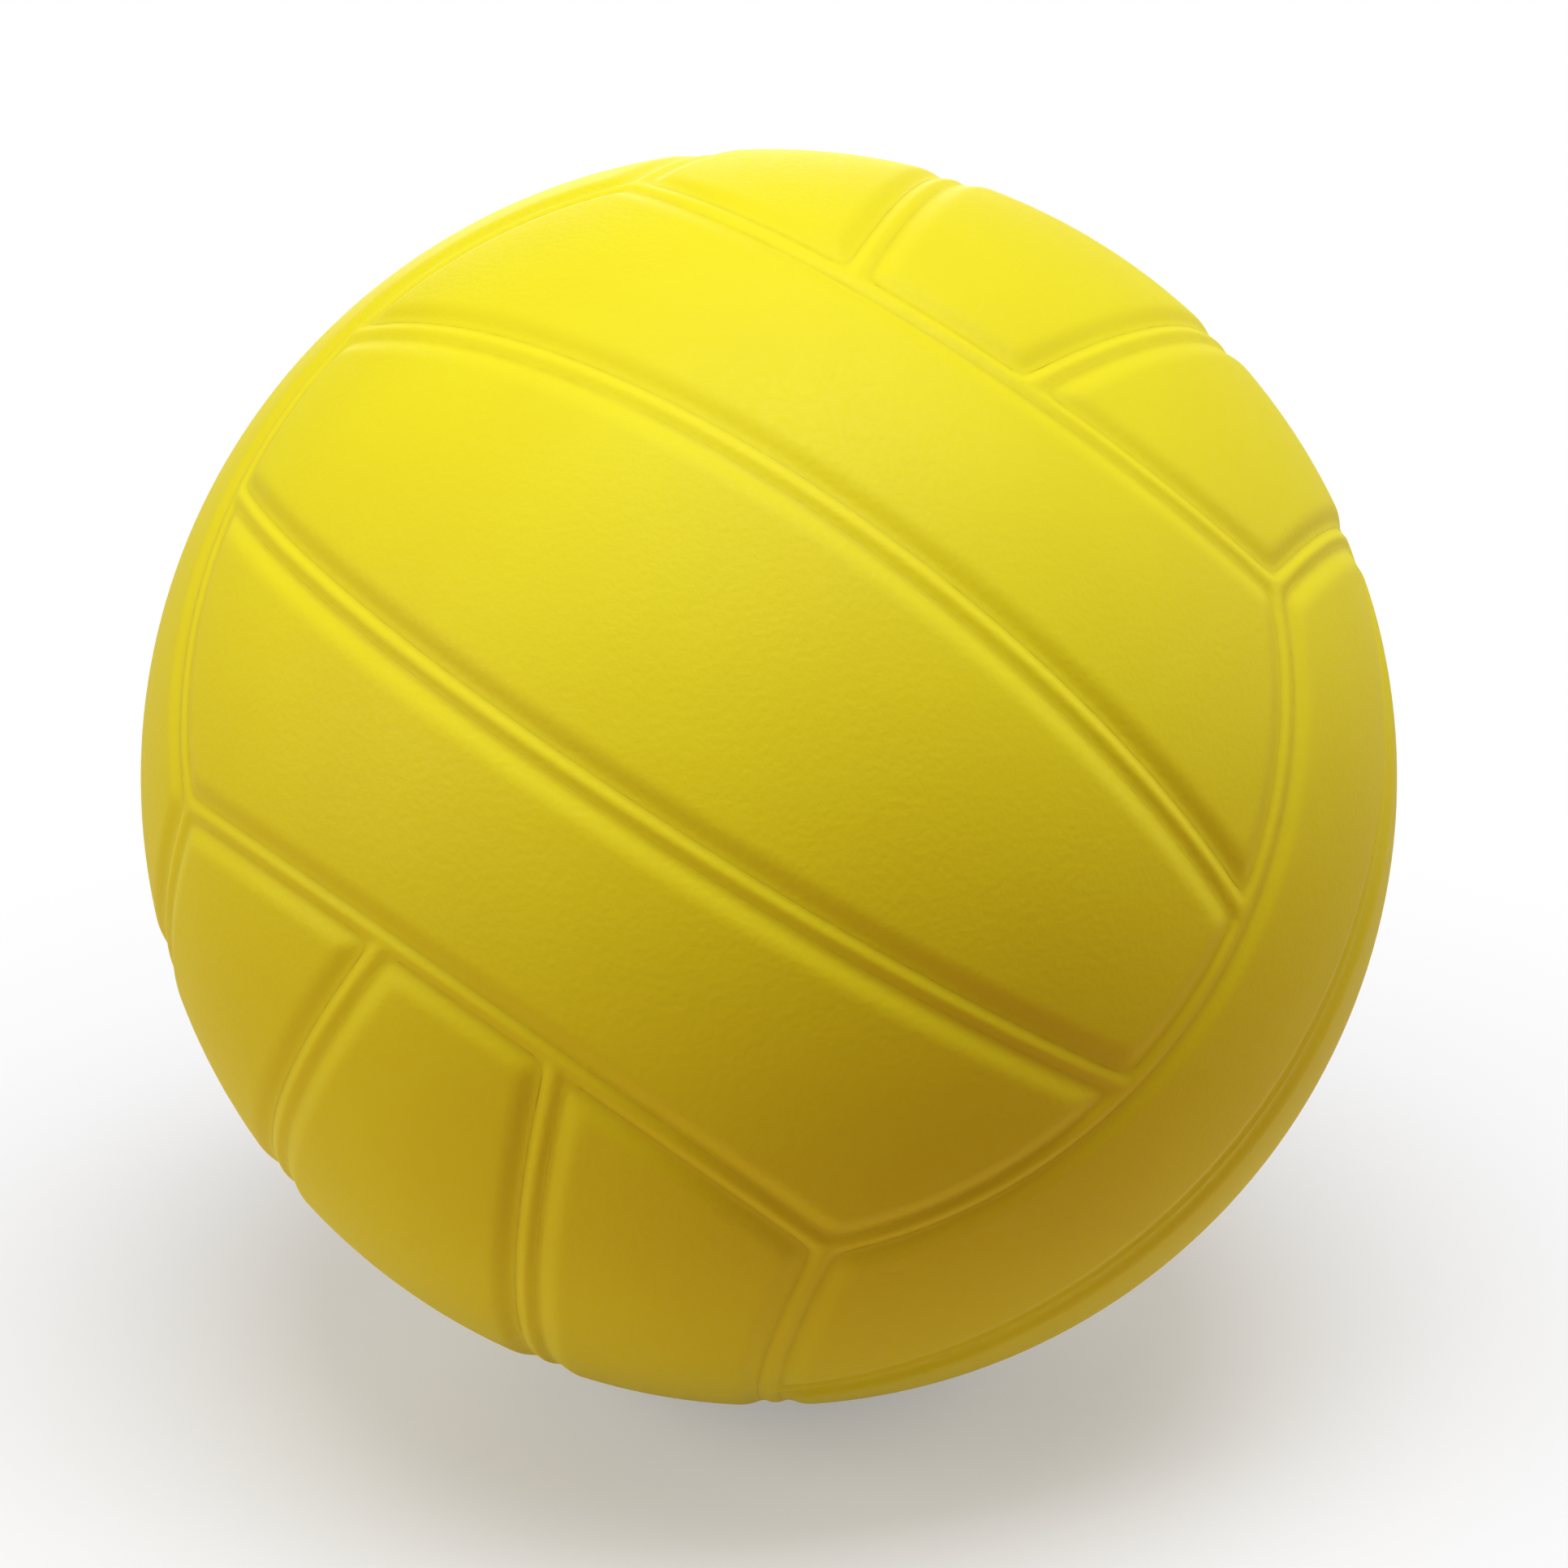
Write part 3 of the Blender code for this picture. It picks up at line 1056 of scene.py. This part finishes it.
@dataclass
class Valve:
    """The needle valve: a rubber body through the ball's wall, and the plug pressed into it."""

    net: SeamNet
    body_finish: Material
    plug_finish: Material
    segments: int = 96
    round_edge: float = 0.15 * MM
    round_steps: int = 3
    top_depth: float = 0.8 * MM
    length: float = 16.2 * MM
    stem: float = 4.2 * MM
    bore: float = 2.6 * MM
    seat: float = 3.3 * MM
    seat_depth: float = 1.2 * MM
    flange: float = 12 * MM
    flange_depth: float = 6.4 * MM
    flange_fall: float = 0.7 * MM
    flange_rim: float = 1.0 * MM
    flange_taper: float = 1.0 * MM
    nose: float = 0.6 * MM
    plug_gap: float = 0.3 * MM
    plug_sink: float = 0.1 * MM
    head: float = 3.0 * MM
    head_height: float = 0.8 * MM
    needle_hole: float = 0.5 * MM
    needle_depth: float = 9 * MM
    lead_in: float = 1.2 * MM
    lead_in_depth: float = 0.5 * MM

    def turned(self, profile: Sequence[tuple[float, float]], closed: bool) -> Object:
        """Turns a profile about Z by drawing one circle from point to point.

        Args:
            profile: Radius and height of each point, from the first circle on.
            closed: True where the last circle joins the first, as in a ring.

        Returns:
            The turned shape, with its edges rounded.
        """
        radius, height = profile[0]
        item = new_object(
            bpy.ops.mesh.primitive_circle_add,
            vertices=self.segments,
            radius=radius,
            location=(0, 0, height),
        )
        bpy.ops.object.transform_apply(location=True, rotation=True, scale=True)
        bpy.ops.object.mode_set(mode="EDIT")
        bpy.ops.mesh.select_all(action="SELECT")
        last = (radius, height)
        for radius, height in profile[1:]:
            grow = radius / last[0]
            bpy.ops.mesh.extrude_region_move(TRANSFORM_OT_translate={"value": (0, 0, height - last[1])})
            bpy.ops.transform.resize(value=(grow, grow, 1), center_override=(0, 0, height))
            last = (radius, height)
        bpy.ops.mesh.select_all(action="SELECT")
        bpy.ops.mesh.region_to_loop()
        if closed:
            bpy.ops.mesh.bridge_edge_loops()
        else:
            bpy.ops.mesh.edge_face_add()
        bpy.ops.object.mode_set(mode="OBJECT")
        edit(item, lambda: bpy.ops.mesh.normals_make_consistent(inside=False))
        rounding = item.modifiers.new("round_edges", "BEVEL")
        rounding.width = self.round_edge
        rounding.segments = self.round_steps
        rounding.limit_method = "ANGLE"
        bpy.ops.object.modifier_apply(modifier=rounding.name)
        return item

    def body_profile(self) -> list[tuple[float, float]]:
        """The body's outline, from the foot of its bore up and round to its nose."""
        top = self.net.radius - self.top_depth
        foot = top - self.length
        flange = self.net.radius - self.flange_depth
        rim = flange - self.flange_fall
        rim_foot = rim - self.flange_rim
        return [
            (self.bore, foot),
            (self.bore, top - self.seat_depth),
            (self.seat, top - self.seat_depth),
            (self.seat, top),
            (self.stem, top),
            (self.stem, flange),
            (self.flange, rim),
            (self.flange, rim_foot),
            (self.stem, rim_foot - self.flange_taper),
            (self.stem, foot + self.nose),
            (self.stem - self.nose, foot),
        ]

    def plug_profile(self) -> list[tuple[float, float]]:
        """The plug's outline, from the end of its needle hole out over the head to its foot."""
        top = self.net.radius - self.top_depth - self.plug_sink
        foot = self.net.radius - self.top_depth - self.length
        shank = self.bore - self.plug_gap
        return [
            (self.needle_hole, top - self.needle_depth),
            (self.needle_hole, top - self.lead_in_depth),
            (self.lead_in, top),
            (self.head, top),
            (self.head, top - self.head_height),
            (shank, top - self.head_height),
            (shank, foot + self.nose),
            (shank - self.nose, foot),
        ]

    def build(self) -> None:
        """Models the valve's two pieces and hands them over."""
        body = self.turned(self.body_profile(), closed=True)
        plug = self.turned(self.plug_profile(), closed=False)
        for item in (body, plug):
            smooth(item)
            settle(item, TO_VALVE)
        hand_over(body, "valve_body", "valve_housing", self.body_finish)
        hand_over(plug, "valve_needle_plug", "valve_plug", self.plug_finish)


def linear(code: str) -> tuple[float, float, float, float]:
    """Turns an sRGB hex colour to the linear values that shaders take.

    Args:
        code: Six hex digits, with or without a leading hash.

    Returns:
        Red, green, blue and a full alpha.
    """
    digits = code.lstrip("#")
    values = [int(digits[index : index + 2], 16) / 255 for index in (0, 2, 4)]
    red, green, blue = (
        value / 12.92 if value <= 0.04045 else ((value + 0.055) / 1.055) ** 2.4 for value in values
    )
    return red, green, blue, 1.0


def add_node(tree: NodeTree, kind: str, settings: dict[str | int, object] | None = None) -> Node:
    """Adds a node to a tree.

    Args:
        tree: The material's or the world's tree.
        kind: The node's type, without its prefix.
        settings: The node's properties by name, and its inputs' values, or sockets to link to them,
            by the input's name or number.

    Returns:
        The new node.
    """
    node = tree.nodes.new(f"ShaderNode{kind}")
    for key, value in (settings or {}).items():
        if isinstance(value, NodeSocket):
            tree.links.new(value, node.inputs[key])
        elif isinstance(key, str) and hasattr(node, key):
            setattr(node, key, value)
        else:
            node.inputs[key].default_value = value
    return node


def seen_ray(tree: NodeTree) -> NodeSocket:
    """Tells rays that show a surface to the eye from rays that light the ball.

    Args:
        tree: The material's or the world's tree.

    Returns:
        A value of one for camera, glossy and transmission rays, else zero.
    """
    path = add_node(tree, "LightPath")
    seen = path.outputs["Is Camera Ray"]
    for ray in ("Is Glossy Ray", "Is Transmission Ray"):
        either = add_node(tree, "Math", {"operation": "MAXIMUM", 0: seen, 1: path.outputs[ray]})
        seen = either.outputs[0]
    return seen


def new_material(name: str) -> tuple[Material, NodeTree, Node]:
    """Makes a material with a Principled shader.

    Args:
        name: The material's name.

    Returns:
        The material, its tree and its shader.
    """
    material = bpy.data.materials.new(name)
    material.use_nodes = True
    tree = material.node_tree
    return material, tree, tree.nodes["Principled BSDF"]


def finish_shader(
    shader: Node, colour: Node, rough: Node, grain: Node, grain_height: float, ior: float
) -> None:
    """Gives a shader what every finish of the ball has.

    Args:
        shader: The material's Principled shader.
        colour: The node that mixes the surface's colour.
        rough: The node that gives the surface's roughness.
        grain: The noise that gives the relief of the surface's grain.
        grain_height: The height of that relief.
        ior: The material's index of refraction.
    """
    tree = shader.id_data
    relief = {"Strength": 1.0, "Distance": grain_height, "Height": grain.outputs["Fac"]}
    bump = add_node(tree, "Bump", relief)
    tree.links.new(colour.outputs[MIX_RESULT], shader.inputs["Base Color"])
    tree.links.new(rough.outputs["Result"], shader.inputs["Roughness"])
    tree.links.new(bump.outputs["Normal"], shader.inputs["Normal"])
    shader.inputs["IOR"].default_value = ior


@dataclass(frozen=True)
class MouldedRubber:
    """Coloured rubber pressed in a satin mould.

    It looks matte and even, with a broad soft sheen, faint clouds in the colour and a fine grain from
    the mould. Painted shade darkens the creases beside the seam ribs, in patches. The real grain is
    finer than a tenth of a millimetre, and is drawn coarser so that it shows.
    """

    name: str
    colour: str
    cloud_colour: str
    # Painted shade: the colour that the creases beside the ribs are darkened towards, in patches
    grime_colour: str = "#8A6E0E"
    ior: float = 1.52
    specular: float = 0.24
    cloud_size: float = 38 * MM
    cloud_low: float = 0.35
    cloud_high: float = 0.7
    cloud_most: float = 0.55
    grain_size: float = 1.1 * MM
    grain_height: float = 0.07 * MM
    grain_low: float = 0.3
    grain_high: float = 0.7
    roughness_low: float = 0.57
    roughness_high: float = 0.68
    # Distances from a seam's middle are in millimetres here, as the panels store them
    crease: float = 1.75
    grime_reach: float = 0.9
    grime_size: float = 6 * MM
    grime_most: float = 0.2

    def make(self) -> Material:
        """Builds the material's nodes.

        Returns:
            The material.
        """
        material, tree, shader = new_material(self.name)
        place = add_node(tree, "TexCoord").outputs["Object"]
        cloud = add_node(tree, "TexNoise", {"Scale": 1 / self.cloud_size, "Detail": 3.0, "Vector": place})
        cloud_range = {"From Min": self.cloud_low, "From Max": self.cloud_high, "To Max": self.cloud_most}
        cloud_share = add_node(tree, "MapRange", cloud_range | {"Value": cloud.outputs["Fac"]})
        tones = {MIX_FIRST: linear(self.colour), MIX_SECOND: linear(self.cloud_colour)}
        tone = add_node(tree, "Mix", COLOUR_MIX | tones | {MIX_SHARE: cloud_share.outputs["Result"]})
        # Painted shade: a darker band along the creases beside the ribs, made patchy by a noise
        seam = add_node(tree, "Attribute", {"attribute_name": "seam_distance"}).outputs["Fac"]
        from_crease = add_node(tree, "Math", {"operation": "SUBTRACT", 0: seam, 1: self.crease})
        either_side = add_node(tree, "Math", {"operation": "ABSOLUTE", 0: from_crease.outputs[0]})
        crease_shade_range = {"From Max": self.grime_reach, "To Min": self.grime_most, "To Max": 0.0}
        crease_shade_edge = add_node(tree, "MapRange", crease_shade_range | {"Value": either_side.outputs[0]})
        patch = add_node(tree, "TexNoise", {"Scale": 1 / self.grime_size, "Detail": 4.0, "Vector": place})
        overlap = {"operation": "MULTIPLY", 0: crease_shade_edge.outputs["Result"], 1: patch.outputs["Fac"]}
        crease_shade_share = add_node(tree, "Math", overlap).outputs[0]
        crease_shaded = {MIX_FIRST: tone.outputs[MIX_RESULT], MIX_SECOND: linear(self.grime_colour)}
        colour = add_node(tree, "Mix", COLOUR_MIX | crease_shaded | {MIX_SHARE: crease_shade_share})
        grain = add_node(tree, "TexNoise", {"Scale": 1 / self.grain_size, "Detail": 2.0, "Vector": place})
        grain_range = {"From Min": self.grain_low, "From Max": self.grain_high}
        rough_range = {"To Min": self.roughness_low, "To Max": self.roughness_high}
        rough = add_node(tree, "MapRange", grain_range | rough_range | {"Value": grain.outputs["Fac"]})
        finish_shader(shader, colour, rough, grain, self.grain_height, self.ior)
        shader.inputs["Specular IOR Level"].default_value = self.specular
        return material


@dataclass(frozen=True)
class DarkRubber:
    """Carbon-black rubber, moulded or dipped: near black, dull, with a grey bloom in patches."""

    name: str
    colour: str
    bloom_colour: str
    roughness: float
    roughness_swing: float = 0.08
    ior: float = 1.52
    bloom_size: float = 3 * MM
    bloom_low: float = 0.45
    bloom_high: float = 0.75
    bloom_most: float = 0.6
    grain_size: float = 0.25 * MM
    grain_height: float = 0.008 * MM

    def make(self) -> Material:
        """Builds the material's nodes.

        Returns:
            The material.
        """
        material, tree, shader = new_material(self.name)
        place = add_node(tree, "TexCoord").outputs["Object"]
        bloom = add_node(tree, "TexNoise", {"Scale": 1 / self.bloom_size, "Detail": 5.0, "Vector": place})
        bloom_range = {"From Min": self.bloom_low, "From Max": self.bloom_high, "To Max": self.bloom_most}
        bloom_share = add_node(tree, "MapRange", bloom_range | {"Value": bloom.outputs["Fac"]})
        tones = {MIX_FIRST: linear(self.colour), MIX_SECOND: linear(self.bloom_colour)}
        colour = add_node(tree, "Mix", COLOUR_MIX | tones | {MIX_SHARE: bloom_share.outputs["Result"]})
        grain = add_node(tree, "TexNoise", {"Scale": 1 / self.grain_size, "Detail": 2.0, "Vector": place})
        low = self.roughness - self.roughness_swing
        high = self.roughness + self.roughness_swing
        rough_range = {"To Min": low, "To Max": high}
        rough = add_node(tree, "MapRange", rough_range | {"Value": grain.outputs["Fac"]})
        finish_shader(shader, colour, rough, grain, self.grain_height, self.ior)
        return material


@dataclass(frozen=True)
class WoundNylon:
    """Undyed nylon thread wound over the bladder and glued: pale satin strands on a duller film."""

    name: str = "wound_nylon_thread"
    thread_colour: str = "#DDD8CC"
    film_colour: str = "#9C9484"
    film_radius: float = 101.56 * MM
    strand_radius: float = 101.8 * MM
    film_roughness: float = 0.75
    thread_roughness: float = 0.5
    ior: float = 1.53
    fibre_size: float = 0.12 * MM
    fibre_height: float = 0.02 * MM
    fibre_contrast: float = 0.3

    def make(self) -> Material:
        """Builds the material's nodes.

        Returns:
            The material.
        """
        material, tree, shader = new_material(self.name)
        place = add_node(tree, "TexCoord").outputs["Object"]
        reach = add_node(tree, "VectorMath", {"operation": "LENGTH", 0: place}).outputs["Value"]
        heights = {"From Min": self.film_radius, "From Max": self.strand_radius}
        raised = add_node(tree, "MapRange", heights | {"Value": reach}).outputs["Result"]
        fibre = add_node(tree, "TexNoise", {"Scale": 1 / self.fibre_size, "Detail": 2.0, "Vector": place})
        strands = {0: fibre.outputs["Fac"], 1: self.fibre_contrast, 2: raised}
        share = add_node(tree, "Math", {"operation": "MULTIPLY_ADD"} | strands).outputs[0]
        tones = {MIX_FIRST: linear(self.film_colour), MIX_SECOND: linear(self.thread_colour)}
        colour = add_node(tree, "Mix", COLOUR_MIX | tones | {MIX_SHARE: share})
        rough_range = {"To Min": self.film_roughness, "To Max": self.thread_roughness}
        rough = add_node(tree, "MapRange", rough_range | {"Value": raised})
        finish_shader(shader, colour, rough, fibre, self.fibre_height, self.ior)
        return material


@dataclass(frozen=True)
class Lamp:
    """A soft white lamp, aimed at the ball."""

    name: str
    place: tuple[float, float, float]
    size: tuple[float, float]
    watts: float

    def build(self) -> None:
        """Adds the lamp to the scene."""
        item = new_object(bpy.ops.object.light_add, type="AREA", location=self.place)
        item.name = self.name
        item.rotation_euler = (-Vector(self.place)).to_track_quat("-Z", "Y").to_euler()
        light = item.data
        light.shape = "RECTANGLE"
        light.size, light.size_y = self.size
        light.energy = self.watts


@dataclass
class Studio:
    """A pale floor, soft lamps, a dim warm surround and the camera at the photograph's angle."""

    net: SeamNet
    camera_distance: float = 596 * MM
    camera_elevation: float = math.radians(20)
    outline_radius_pixels: float = 774.1
    ball_right_pixels: float = -18.6
    ball_up_pixels: float = 8.4
    sensor: float = 36.0
    floor_size: float = 12.0
    floor_colour: str = "#F4F8FF"
    near_bounce_colour: str = "#E0D7AE"
    far_bounce_colour: str = "#BF7F64"
    bounce_near: float = 50 * MM
    bounce_far: float = 350 * MM
    white_near: float = 100 * MM
    white_far: float = 310 * MM
    white_least: float = 0.32
    surround_colour: str = "#FF7A50"
    surround_strength: float = 0.03
    lamps: tuple[Lamp, ...] = (
        Lamp("overhead_softbox", (0.06, -0.22, 0.93), (0.8, 0.55), 8.65),
        Lamp("left_softbox", (-0.9, -0.35, 0.33), (0.5, 0.5), 3.6),
        Lamp("right_softbox", (0.9, 0.1, 0.35), (0.5, 0.5), 1.9),
        Lamp("rear_softbox", (-0.1, 0.95, 0.2), (0.5, 0.5), 2.4),
    )

    def build_floor(self) -> None:
        """Lays the floor under the ball."""
        place = (0, 0, -self.net.radius)
        floor = new_object(bpy.ops.mesh.primitive_plane_add, size=self.floor_size, location=place)
        floor.name = "studio_floor"
        bpy.ops.object.transform_apply(location=True, rotation=True, scale=True)
        floor.data.materials.append(self.floor_material())

    def floor_material(self) -> Material:
        """Paints the floor pale near the ball and plain white far from it.

        The light that it throws back on the ball is warmer than what the eye sees of it, as in the
        ball's shadows in the photograph. The ramps go by the distance from the ball's centre.

        Returns:
            The material.
        """
        material, tree, shader = new_material("pale_studio_floor")
        tree.nodes.remove(shader)
        seen = seen_ray(tree)
        place = add_node(tree, "TexCoord").outputs["Object"]
        reach = add_node(tree, "VectorMath", {"operation": "LENGTH", 0: place}).outputs["Value"]
        ramp = {"interpolation_type": "SMOOTHSTEP", "Value": reach}
        bounce_range = {"From Min": self.bounce_near, "From Max": self.bounce_far}
        beyond = add_node(tree, "MapRange", ramp | bounce_range)
        tones = {MIX_FIRST: linear(self.near_bounce_colour), MIX_SECOND: linear(self.far_bounce_colour)}
        bounce = add_node(tree, "Mix", COLOUR_MIX | tones | {MIX_SHARE: beyond.outputs["Result"]})
        tones = {MIX_FIRST: bounce.outputs[MIX_RESULT], MIX_SECOND: linear(self.floor_colour)}
        colour = add_node(tree, "Mix", COLOUR_MIX | tones | {MIX_SHARE: seen})
        near = add_node(tree, "BsdfDiffuse", {"Color": colour.outputs[MIX_RESULT]})
        far = add_node(tree, "Emission", {"Color": WHITE, "Strength": 1.0})
        whiteness = {"From Min": self.white_near, "From Max": self.white_far, "To Min": self.white_least}
        away = add_node(tree, "MapRange", ramp | whiteness)
        share = add_node(tree, "Math", {"operation": "MULTIPLY", 0: away.outputs["Result"], 1: seen})
        layers = {0: share.outputs[0], 1: near.outputs["BSDF"], 2: far.outputs["Emission"]}
        mixed = add_node(tree, "MixShader", layers)
        tree.links.new(mixed.outputs["Shader"], tree.nodes["Material Output"].inputs["Surface"])
        return material

    def build_surround(self) -> None:
        """Makes the world white to the eye, and dim and warm to the ball."""
        world = bpy.data.worlds.new("studio_surround")
        world.use_nodes = True
        tree = world.node_tree
        plain = tree.nodes["Background"]
        plain.inputs["Color"].default_value = linear(self.surround_colour)
        plain.inputs["Strength"].default_value = self.surround_strength
        white = add_node(tree, "Background", {"Color": WHITE, "Strength": 1.0})
        layers = {0: seen_ray(tree), 1: plain.outputs[0], 2: white.outputs[0]}
        mixed = add_node(tree, "MixShader", layers)
        tree.links.new(mixed.outputs["Shader"], tree.nodes["World Output"].inputs["Surface"])
        bpy.context.scene.world = world

    def build_camera(self) -> None:
        """Sets the camera where the photograph was taken from."""
        tilt = self.camera_elevation
        back = Vector((0, -math.cos(tilt), math.sin(tilt)))
        camera = new_object(bpy.ops.object.camera_add, location=back * self.camera_distance)
        camera.name = "photo_camera"
        camera.rotation_euler = (-back).to_track_quat("-Z", "Y").to_euler()
        reach = self.camera_distance / self.net.radius
        focal_pixels = self.outline_radius_pixels * math.sqrt(reach**2 - 1)
        camera.data.sensor_width = self.sensor
        camera.data.lens = self.sensor * focal_pixels / PHOTO_PIXELS
        camera.data.shift_x = -self.ball_right_pixels / PHOTO_PIXELS
        camera.data.shift_y = -self.ball_up_pixels / PHOTO_PIXELS
        bpy.context.scene.camera = camera

    def build(self) -> None:
        """Sets up the stage."""
        self.build_floor()
        self.build_surround()
        for lamp in self.lamps:
            lamp.build()
        self.build_camera()
        bpy.context.scene.view_settings.view_transform = "Standard"


def main() -> None:
    """Builds the ball around its frame, and the studio round it."""
    logging.basicConfig(level=logging.INFO, format="%(message)s")
    net = SeamNet()
    groove = Groove()
    cover_rubber = MouldedRubber("moulded_cover_rubber", "#EADF16", "#E5D614")
    # The ribs' rubber is a little lighter than the cover's: painted light, standing in for the light that
    # the ribs catch
    rib_rubber = MouldedRubber("moulded_rib_rubber", "#EDE218", "#E8D916")
    valve_rubber = DarkRubber("moulded_valve_rubber", "#26262A", "#3B3B40", 0.5)
    plug_rubber = DarkRubber("soft_plug_rubber", "#34343A", "#4B4B52", 0.45)
    butyl = DarkRubber("dipped_butyl", "#1C1C20", "#2C2C32", 0.55, bloom_size=14 * MM)

    Cover(net, groove, cover_rubber.make()).build()
    Carcass(net, groove, rib_rubber.make()).build()
    Valve(net, valve_rubber.make(), plug_rubber.make()).build()
    Winding(WoundNylon().make()).build()
    Bladder(butyl.make()).build()
    Studio(net).build()


if __name__ == "__main__":
    main()
